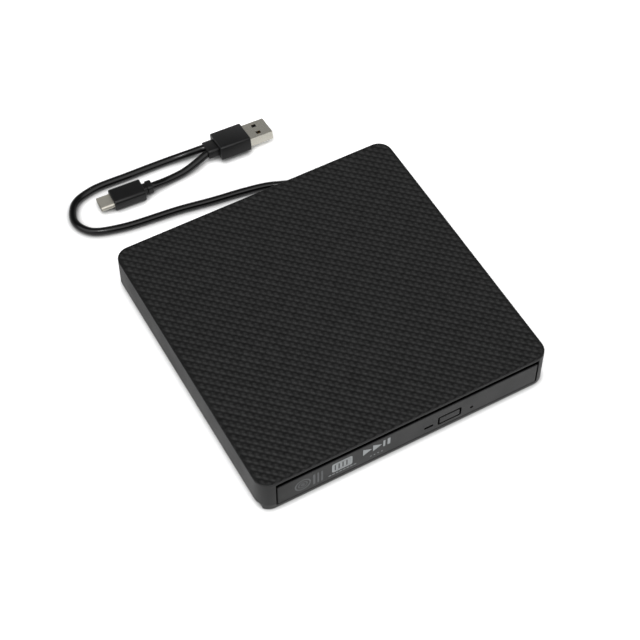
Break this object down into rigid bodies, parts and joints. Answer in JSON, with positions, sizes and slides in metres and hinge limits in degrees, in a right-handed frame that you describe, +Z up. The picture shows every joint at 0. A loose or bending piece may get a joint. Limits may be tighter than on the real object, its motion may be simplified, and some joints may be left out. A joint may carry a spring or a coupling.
{
  "type": "external optical drive",
  "caption": "Flat square box with rounded corners and a woven relief on top; a disc tray slides out of its front, and a looped cable ending in plugs leaves its rear.",
  "frame": {"origin": "on the floor, under the middle of the whole object with its cable; the feet stand on z = 0", "axes": "+Z up, +Y from the tray front to the rear wall, +X to the right seen from the front"},
  "size_m": [0.1484, 0.1994, 0.0191],
  "materials": {
    "shell_black": "fine-grained black ABS",
    "bezel_black": "fine-grained dark grey ABS",
    "tray_black": "textured black ABS",
    "rubber": "matt black rubber",
    "cable_black": "glossy black PVC jacket",
    "nickel": "warm nickel plate",
    "steel": "bright zinc-plated sheet",
    "dark_steel": "dark zinc plate",
    "cast_metal": "die-cast metal",
    "coil_copper": "enamelled copper winding",
    "board_green": "green solder mask",
    "chip_black": "moulded black plastic",
    "white_plastic": "natural white acetal",
    "flex_amber": "amber polyimide film",
    "lens_glass": "coated glass",
    "light_pipe": "smoked clear plastic"
  },
  "bodies": {
    "enclosure": {"top_cover": "shell_black", "bottom_cover": "shell_black", "foot_front_left": "rubber", "foot_front_right": "rubber", "foot_rear_left": "rubber", "foot_rear_right": "rubber", "case_screw_1": "dark_steel", "case_screw_2": "dark_steel", "case_screw_3": "dark_steel", "case_screw_4": "dark_steel", "bridge_board": "board_green", "bridge_chip": "chip_black", "sata_socket": "chip_black", "drive_connector": "chip_black", "cable_grommet": "rubber", "usb_cable": "cable_black", "usb_c_pigtail": "cable_black", "usb_a_moulding": "cable_black", "usb_a_shell": "nickel", "usb_a_tongue": "white_plastic", "usb_c_moulding": "cable_black", "usb_c_shell": "nickel", "usb_c_insulator": "chip_black", "drive_base_pan": "steel", "drive_top_shield": "steel", "left_rail_guide": "steel", "right_rail_guide": "steel", "ejector_pusher": "white_plastic", "eject_spring": "steel", "flex_fixed_leg": "flex_amber"},
    "left_rail": {"left_slide_rail": "steel", "flex_fold": "flex_amber"},
    "right_rail": {"right_slide_rail": "steel"},
    "tray": {"disc_tray": "tray_black", "front_bezel": "bezel_black", "status_light_pipe": "light_pipe", "eject_switch_board": "board_green", "tray_under_cover": "steel", "controller_board": "board_green", "traverse_deck": "dark_steel", "guide_rod_inner": "steel", "guide_rod_outer": "steel", "sled_motor": "steel", "spindle_base": "dark_steel", "stator_core": "coil_copper", "latch_solenoid": "coil_copper", "flex_moving_leg": "flex_amber"},
    "eject_button": {"eject_button": "bezel_black"},
    "spindle": {"spindle_rotor": "steel", "turntable": "chip_black", "grip_ring": "rubber"},
    "claw_1": {"chuck_claw_1": "white_plastic"},
    "claw_2": {"chuck_claw_2": "white_plastic"},
    "claw_3": {"chuck_claw_3": "white_plastic"},
    "pickup": {"pickup_sled": "cast_metal"},
    "lead_screw": {"lead_screw": "steel"},
    "lens": {"lens_holder": "chip_black", "objective_lens": "lens_glass"},
    "latch_lever": {"latch_lever": "white_plastic"},
    "plunger": {"solenoid_plunger": "steel"}
  },
  "joints": [
    {"name": "tray_slide", "type": "slide", "parent": "enclosure", "child": "tray", "axis": [0, -1, 0], "range_m": [0, 0.125]},
    {"name": "left_rail_slide", "type": "slide", "parent": "enclosure", "child": "left_rail", "axis": [0, -1, 0], "range_m": [0, 0.0625]},
    {"name": "right_rail_slide", "type": "slide", "parent": "enclosure", "child": "right_rail", "axis": [0, -1, 0], "range_m": [0, 0.0625]},
    {"name": "button_press", "type": "slide", "parent": "tray", "child": "eject_button", "axis": [0, 1, 0], "range_m": [0, 0.0005], "stiffness_N_per_m": 600},
    {"name": "spindle_spin", "type": "hinge", "parent": "tray", "child": "spindle", "pos_m": [0.0027, -0.0346, 0.01], "axis": [0, 0, 1], "continuous": true},
    {"name": "claw_1_slide", "type": "slide", "parent": "spindle", "child": "claw_1", "axis": [-1, 0, 0], "range_m": [0, 0.0005]},
    {"name": "claw_2_slide", "type": "slide", "parent": "spindle", "child": "claw_2", "axis": [0.5, -0.866, 0], "range_m": [0, 0.0005]},
    {"name": "claw_3_slide", "type": "slide", "parent": "spindle", "child": "claw_3", "axis": [0.5, 0.866, 0], "range_m": [0, 0.0005]},
    {"name": "sled_slide", "type": "slide", "parent": "tray", "child": "pickup", "axis": [-0.7071, -0.7071, 0], "range_m": [0, 0.035]},
    {"name": "lead_screw_turn", "type": "hinge", "parent": "tray", "child": "lead_screw", "pos_m": [-0.01342, -0.07505, 0.0076], "axis": [-0.7071, -0.7071, 0], "range_deg": [0, 4210]},
    {"name": "lens_focus", "type": "slide", "parent": "pickup", "child": "lens", "axis": [0, 0, 1], "range_m": [-0.0004, 0.0004]},
    {"name": "latch_turn", "type": "hinge", "parent": "tray", "child": "latch_lever", "pos_m": [0.0467, -0.0796, 0.006], "axis": [0, 0, 1], "range_deg": [0, 12]},
    {"name": "plunger_slide", "type": "slide", "parent": "tray", "child": "plunger", "axis": [0, -1, 0], "range_m": [0, 0.00147]}
  ],
  "couplings": [
    {"joint": "left_rail_slide", "follows": "tray_slide", "ratio": 0.5},
    {"joint": "right_rail_slide", "follows": "tray_slide", "ratio": 0.5},
    {"joint": "claw_2_slide", "follows": "claw_1_slide", "ratio": 1},
    {"joint": "claw_3_slide", "follows": "claw_1_slide", "ratio": 1},
    {"joint": "lead_screw_turn", "follows": "sled_slide", "rad_per_m": 2094.4},
    {"joint": "latch_turn", "follows": "plunger_slide", "rad_per_m": 142.86}
  ]
}
